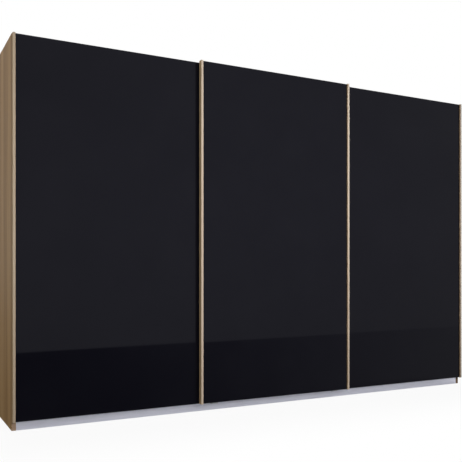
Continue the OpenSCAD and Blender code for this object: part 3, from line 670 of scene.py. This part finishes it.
# Painted shade: the outer doors' strips are painted darker than the middle door's, by these shares.
for door, shade_share in (
    ("left", (0.905, 0.895, 0.865)), ("middle", (1.0, 1.0, 1.0)), ("right", (0.87, 0.87, 0.88)),
):
    tones = [paint(*(c * share for c, share in zip(tone, shade_share))) for tone in strip_tones]
    strip_oak, tree, shader, colour = oak("oak_strips_" + door, tones)
    at = add_node(tree, "TexCoord").outputs["Object"]
    felt = add_node(tree, "TexNoise", Vector=at, Scale=1500.0, Detail=4.0).outputs["Fac"]
    fibre_board = ramp(tree, felt, (0.3, paint(138, 108, 74)), (0.7, paint(164, 134, 98)))
    # Painted shade: the flanks are painted darker and warmer than the fronts.
    flanks = calc(tree, "MAXIMUM", facing(tree, "X"), facing(tree, "X", -1.0))
    flank_shade_tint = (1.04, 0.90, 0.66, 1.0)
    colour = blend_colours(tree, flanks, colour, flank_shade_tint, how="MULTIPLY")
    ends = calc(tree, "MAXIMUM", facing(tree, "Z"), facing(tree, "Z", -1.0))
    colour = blend_colours(tree, ends, colour, fibre_board)
    tree.links.new(colour, shader.inputs["Base Color"])
    dress("door_%s_grips" % door, strip_oak)

# ---- Hangers and guide arms ----
# Folded from 2.5 mm zinc-plated steel. The middle door's reach over and under the
# outer doors to their own track and groove.

for door in ("left", "middle", "right"):
    dress("door_%s_hangers" % door, zinc, edge=0.0003)
    dress("door_%s_guide_arms" % door, zinc, edge=0.0003)

# ---- Guide shoes ----
# Moulded acetal shoes, riveted under the guide arms. They run in the grooves of the guide
# rail and keep the doors from swinging out.

for door in ("left", "middle", "right"):
    dress("door_%s_shoes" % door, glide_plastic, edge=0.0006)

# ---- Screws ----
# Zinc-plated countersunk wood screws with a cross recess. Those in the rails and brackets
# stand upright, those in the hangers and guide arms go forward into the door panels.

head_r, head_edge, rim_h, head_h = 0.004, 0.0003, 0.0007, 0.0026
core_r, thread_h, thread_pitch = 0.00155, 0.0005, 0.0018
crest_at, foot_at = 0.4 * thread_pitch, 0.8 * thread_pitch
shank_h, point_r, point_h = 0.0034, 0.0003, 0.003


def wood_screw(length):
    """A screw with its head's face at the origin and its point down."""
    shape = bmesh.new()
    profile = [(head_r - head_edge, 0.0), (head_r, -head_edge), (head_r, -rim_h), (core_r, -head_h)]
    depth = shank_h
    while depth < length - point_h:
        profile += [(core_r, -depth), (core_r + thread_h, -depth - crest_at), (core_r, -depth - foot_at)]
        depth += thread_pitch
    profile.append((point_r, -length))
    first, last = turn(shape, profile, steps=16)
    cross_head(shape, first, reach=0.0024, half=0.00045, depth=0.0016)
    shape.faces.new(last)
    return shape


for name, body, axis in (
    ("rail_screws", "carcass", "Z"), ("door_left_screws", "door_left", "Y"),
    ("door_middle_screws", "door_middle", "Y"), ("door_right_screws", "door_right", "Y"),
):
    boxes = solids(name)
    along = "XYZ".index(axis)
    length = min(high[along] - low[along] for low, high in boxes)
    laid = Matrix.Identity(4) if axis == "Z" else Matrix.Rotation(-math.pi / 2, 4, "X")
    places = []
    for i, (low, high) in enumerate(boxes):
        centre = (low + high) / 2
        centre[along] = high[along]
        places.append(Matrix.Translation(centre) @ laid @ Matrix.Rotation(i * head_turn, 4, "Z"))
    repeat(name + "_cross_recess", wood_screw(length), places, zinc, body, "zinc", name)

# ---- Rollers ----
# Grooved acetal rollers that straddle the track's rib, each moulded round a small
# shielded bearing.

bore_r, bearing_r = 0.0054, 0.0092
shield_in_r, shield_out_r = 0.0068, 0.0080
bevel, proud = 0.0002, 0.0003
for name in (
    "roller_left_outer", "roller_left_inner", "roller_middle_left",
    "roller_middle_right", "roller_right_inner", "roller_right_outer",
):
    dress(name, glide_plastic)
    low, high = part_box(name)
    ring = bmesh.new()
    ring_h = (high.y - low.y) / 2 + proud
    turn(ring, (
        (bore_r, 0.0), (bore_r, ring_h - bevel), (bore_r + bevel, ring_h), (shield_in_r - bevel, ring_h),
        (shield_in_r, ring_h - bevel), (shield_out_r, ring_h - bevel), (shield_out_r + bevel, ring_h),
        (bearing_r - bevel, ring_h), (bearing_r, ring_h - bevel), (bearing_r, 0.0),
    ), steps=32)
    centre = Matrix.Translation((low + high) / 2)
    both = [centre @ Matrix.Rotation(side * math.pi / 2, 4, "X") for side in (-1, 1)]
    repeat(name + "_bearing", ring, both, zinc, name, "zinc")

# ---- Sizes ----
# The wardrobe's box with the finished pieces is found here; its box as drawn was found at the start.

low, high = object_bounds()
